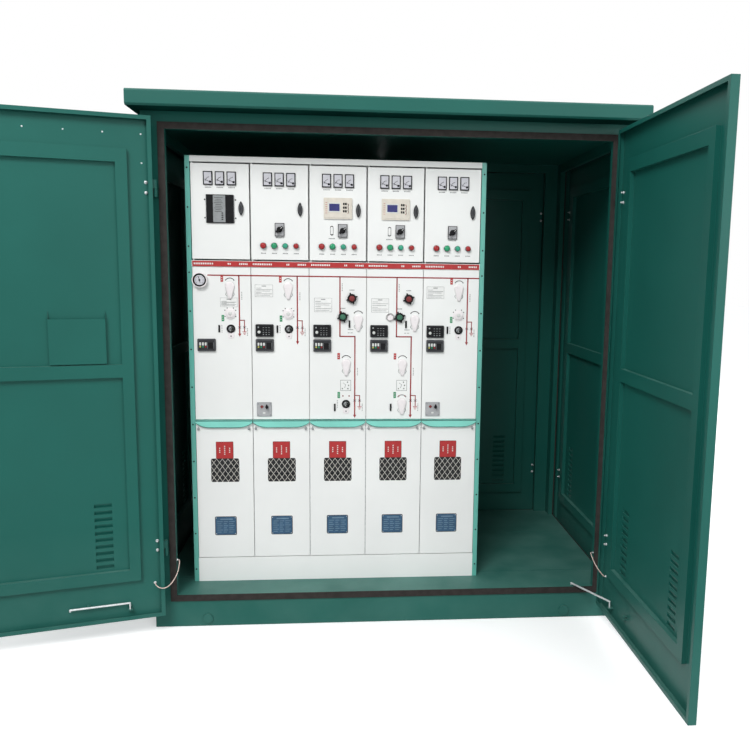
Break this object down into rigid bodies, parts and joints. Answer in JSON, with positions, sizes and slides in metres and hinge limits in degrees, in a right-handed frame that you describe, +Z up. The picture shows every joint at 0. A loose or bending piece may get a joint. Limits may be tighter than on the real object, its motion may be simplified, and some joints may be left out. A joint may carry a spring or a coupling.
{
  "type": "gas insulated ring-main switchgear in an outdoor kiosk",
  "caption": "Outdoor sheet-steel kiosk with double doors, holding a gas insulated switchgear row with instrument doors, operating panels and cable covers.",
  "frame": {"origin": "on the ground under the middle of the kiosk body, on the underside of the middle cross beam", "axes": "+X to the right of someone facing the open front, +Y to the rear, +Z up"},
  "size_m": [3.6528, 2.764, 2.816],
  "materials": {
    "kiosk_paint": "painted",
    "gasket_foam": "matte",
    "lead_sheath": "satin",
    "zinc_steel": "galvanised",
    "white_enamel": "painted",
    "teal_enamel": "painted",
    "turquoise_enamel": "painted",
    "stainless_steel": "brushed",
    "black_plastic": "satin",
    "grey_plastic": "satin",
    "button_plastic": "glossy"
  },
  "bodies": {
    "kiosk": {"base_long_beams": "kiosk_paint", "base_cross_beams": "kiosk_paint", "floor_plates": "kiosk_paint", "corner_posts": "kiosk_paint", "head_rails": "kiosk_paint", "ceiling_panel": "kiosk_paint", "roof": "kiosk_paint", "lifting_caps": "kiosk_paint", "door_gaskets": "gasket_foam", "hinge_brackets": "kiosk_paint", "left_bonding_lead": "lead_sheath", "right_bonding_lead": "lead_sheath", "gear_plinth": "white_enamel", "left_end_cover": "teal_enamel", "right_end_cover": "teal_enamel", "top_cap": "white_enamel", "gear_rear_panel": "white_enamel", "gas_tank": "stainless_steel", "cable_partitions": "zinc_steel", "lv_back_panel": "white_enamel", "lv_partitions": "white_enamel", "label_rail": "white_enamel", "mechanism_panels": "white_enamel", "cable_covers": "white_enamel", "window_meshes": "black_plastic", "canopy_strips": "turquoise_enamel", "pressure_gauge": "grey_plastic", "indicator_boxes": "grey_plastic", "operating_covers": "white_enamel", "breaker_buttons": "button_plastic", "position_indicators": "black_plastic", "interlock_plates": "grey_plastic"},
    "front_left_leaf": {"front_left_door": "kiosk_paint", "document_pocket": "kiosk_paint"},
    "front_right_leaf": {"front_right_door": "kiosk_paint"},
    "rear_left_leaf": {"rear_left_door": "kiosk_paint"},
    "rear_right_leaf": {"rear_right_door": "kiosk_paint"},
    "left_side_leaf": {"left_side_door": "kiosk_paint"},
    "right_side_leaf": {"right_side_door": "kiosk_paint"},
    "front_left_rod": {"front_left_stay": "zinc_steel"},
    "front_right_rod": {"front_right_stay": "zinc_steel"},
    "bay_1_lv_leaf": {"bay_1_lv_door": "white_enamel", "bay_1_instruments": "black_plastic"},
    "bay_2_lv_leaf": {"bay_2_lv_door": "white_enamel", "bay_2_instruments": "black_plastic"},
    "bay_3_lv_leaf": {"bay_3_lv_door": "white_enamel", "bay_3_instruments": "black_plastic"},
    "bay_4_lv_leaf": {"bay_4_lv_door": "white_enamel", "bay_4_instruments": "black_plastic"},
    "bay_5_lv_leaf": {"bay_5_lv_door": "white_enamel", "bay_5_instruments": "black_plastic"}
  },
  "joints": [
    {"name": "front_left_door_hinge", "type": "hinge", "parent": "kiosk", "child": "front_left_leaf", "pos_m": [-1.184, -0.75, 0.463], "axis": [0, 0, -1], "range_deg": [-165, 3], "deforming": ["left_bonding_lead"]},
    {"name": "front_right_door_hinge", "type": "hinge", "parent": "kiosk", "child": "front_right_leaf", "pos_m": [1.184, -0.75, 0.463], "axis": [0, 0, 1], "range_deg": [-90, 0], "deforming": ["right_bonding_lead"]},
    {"name": "rear_left_door_hinge", "type": "hinge", "parent": "kiosk", "child": "rear_left_leaf", "pos_m": [-1.184, 0.75, 0.463], "axis": [0, 0, 1], "range_deg": [0, 110]},
    {"name": "rear_right_door_hinge", "type": "hinge", "parent": "kiosk", "child": "rear_right_leaf", "pos_m": [1.184, 0.75, 0.463], "axis": [0, 0, -1], "range_deg": [0, 110]},
    {"name": "left_side_door_hinge", "type": "hinge", "parent": "kiosk", "child": "left_side_leaf", "pos_m": [-1.31, 0.642, 0.463], "axis": [0, 0, -1], "range_deg": [0, 110]},
    {"name": "right_side_door_hinge", "type": "hinge", "parent": "kiosk", "child": "right_side_leaf", "pos_m": [1.31, 0.642, 0.463], "axis": [0, 0, 1], "range_deg": [0, 110]},
    {"name": "front_left_stay_pivot", "type": "hinge", "parent": "front_left_leaf", "child": "front_left_rod", "pos_m": [-1.3599, -0.81991, 0.192], "axis": [0, 0, 1], "range_deg": [0, 152]},
    {"name": "front_right_stay_pivot", "type": "hinge", "parent": "front_right_leaf", "child": "front_right_rod", "pos_m": [1.162, -0.938, 0.192], "axis": [0, 0, -1], "range_deg": [-152.5, 0]},
    {"name": "bay_1_lv_door_hinge", "type": "hinge", "parent": "kiosk", "child": "bay_1_lv_leaf", "pos_m": [-1.051, -0.51, 1.974], "axis": [0, 0, -1], "range_deg": [0, 110]},
    {"name": "bay_2_lv_door_hinge", "type": "hinge", "parent": "kiosk", "child": "bay_2_lv_leaf", "pos_m": [-0.741, -0.51, 1.974], "axis": [0, 0, -1], "range_deg": [0, 110]},
    {"name": "bay_3_lv_door_hinge", "type": "hinge", "parent": "kiosk", "child": "bay_3_lv_leaf", "pos_m": [-0.431, -0.51, 1.974], "axis": [0, 0, -1], "range_deg": [0, 110]},
    {"name": "bay_4_lv_door_hinge", "type": "hinge", "parent": "kiosk", "child": "bay_4_lv_leaf", "pos_m": [-0.121, -0.51, 1.974], "axis": [0, 0, -1], "range_deg": [0, 110]},
    {"name": "bay_5_lv_door_hinge", "type": "hinge", "parent": "kiosk", "child": "bay_5_lv_leaf", "pos_m": [0.189, -0.51, 1.974], "axis": [0, 0, -1], "range_deg": [0, 110]}
  ],
  "couplings": [
    {"joint": "front_right_stay_pivot", "follows": "front_right_door_hinge", "ratio": 1.6889}
  ]
}
